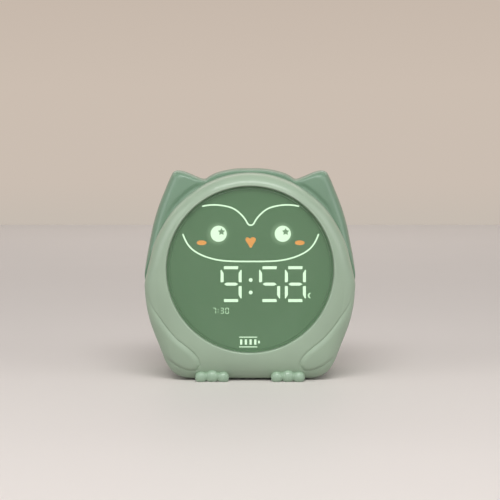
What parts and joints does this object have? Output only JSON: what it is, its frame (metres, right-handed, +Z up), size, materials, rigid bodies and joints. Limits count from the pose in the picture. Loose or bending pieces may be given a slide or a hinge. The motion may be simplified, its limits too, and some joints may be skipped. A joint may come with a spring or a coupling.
{
  "type": "alarm clock with night light",
  "caption": "Owl-shaped bedside alarm clock with a round lit display, eared rear shell, toed feet, rear buttons and a snooze key on top.",
  "frame": {"origin": "middle of the clock's box at table height", "axes": "+Z up, the display faces -Y, +X is to the right as seen from the front"},
  "size_m": [0.1218, 0.0743, 0.1204],
  "materials": {
    "front_case": "satin moulded sage green",
    "rear_case": "satin moulded darker sage, slightly translucent",
    "lens": "clear polished",
    "tape": "adhesive foam",
    "film": "printed translucent green",
    "lit_green": "lit from behind",
    "dim_green": "dimly lit",
    "lit_orange": "lit from behind",
    "white_plastic": "moulded",
    "board": "solder mask",
    "led": "clear resin",
    "chip": "moulded",
    "steel": "plated",
    "foot_rubber": "satin moulded",
    "black_plastic": "moulded",
    "stem": "moulded",
    "button": "satin moulded",
    "snooze": "satin moulded darker sage",
    "cone": "treated paper and woven gauze",
    "lead": "insulated wire",
    "ribbon": "flat flexible cable",
    "battery": "foil pouch"
  },
  "bodies": {
    "case": {"battery_cell": "battery", "battery_icon": "lit_green", "battery_leads": "lead", "battery_plug": "white_plastic", "battery_tape": "tape", "beak": "lit_orange", "board_screws": "steel", "case_screws": "steel", "cheeks": "lit_orange", "control_chips": "chip", "digit_segments": "lit_green", "display_board": "board", "display_chips": "chip", "display_leds": "led", "display_lens": "lens", "display_screws": "steel", "eyes": "lit_green", "face_lines": "lit_green", "face_mask": "film", "front_shell": "front_case", "left_foot": "foot_rubber", "lens_tape": "film", "light_box": "white_plastic", "main_board": "board", "night_light_leds": "led", "quartz_crystal": "steel", "rear_foot_pads": "foot_rubber", "rear_shell": "rear_case", "ribbon_cable": "ribbon", "ribbon_connectors": "white_plastic", "right_foot": "foot_rubber", "slide_switch_body": "black_plastic", "snooze_switch": "black_plastic", "speaker_cone": "cone", "speaker_frame": "black_plastic", "speaker_gauze": "cone", "speaker_leads": "lead", "speaker_magnet": "steel", "status_icons": "dim_green", "tact_switches": "black_plastic", "top_board": "board", "top_board_leads": "lead", "top_board_screws": "steel", "usb_socket": "steel", "usb_tongue": "black_plastic"},
    "mode_key": {"mode_button": "button", "mode_plunger": "stem"},
    "down_key": {"down_button": "button", "down_plunger": "stem"},
    "up_key": {"up_button": "button", "up_plunger": "stem"},
    "alarm_key": {"alarm_button": "button", "alarm_plunger": "stem"},
    "light_key": {"light_button": "button", "light_plunger": "stem"},
    "snooze_key": {"snooze_button": "snooze", "snooze_plunger": "stem"},
    "power_knob": {"power_slider": "button"}
  },
  "joints": [
    {"name": "mode_press", "type": "slide", "parent": "case", "child": "mode_key", "axis": [0, -1, 0], "range_m": [0, 0.0005], "stiffness_N_per_m": 300, "springref_m": -0.001},
    {"name": "down_press", "type": "slide", "parent": "case", "child": "down_key", "axis": [0, -1, 0], "range_m": [0, 0.0005], "stiffness_N_per_m": 300, "springref_m": -0.001},
    {"name": "up_press", "type": "slide", "parent": "case", "child": "up_key", "axis": [0, -1, 0], "range_m": [0, 0.0005], "stiffness_N_per_m": 300, "springref_m": -0.001},
    {"name": "alarm_press", "type": "slide", "parent": "case", "child": "alarm_key", "axis": [0, -1, 0], "range_m": [0, 0.0005], "stiffness_N_per_m": 300, "springref_m": -0.001},
    {"name": "light_press", "type": "slide", "parent": "case", "child": "light_key", "axis": [0, -1, 0], "range_m": [0, 0.0005], "stiffness_N_per_m": 300, "springref_m": -0.001},
    {"name": "snooze_press", "type": "slide", "parent": "case", "child": "snooze_key", "axis": [0, 0, -1], "range_m": [0, 0.0006], "stiffness_N_per_m": 400, "springref_m": -0.001},
    {"name": "power_slide", "type": "slide", "parent": "case", "child": "power_knob", "axis": [1, 0, 0], "range_m": [0, 0.0025]}
  ]
}
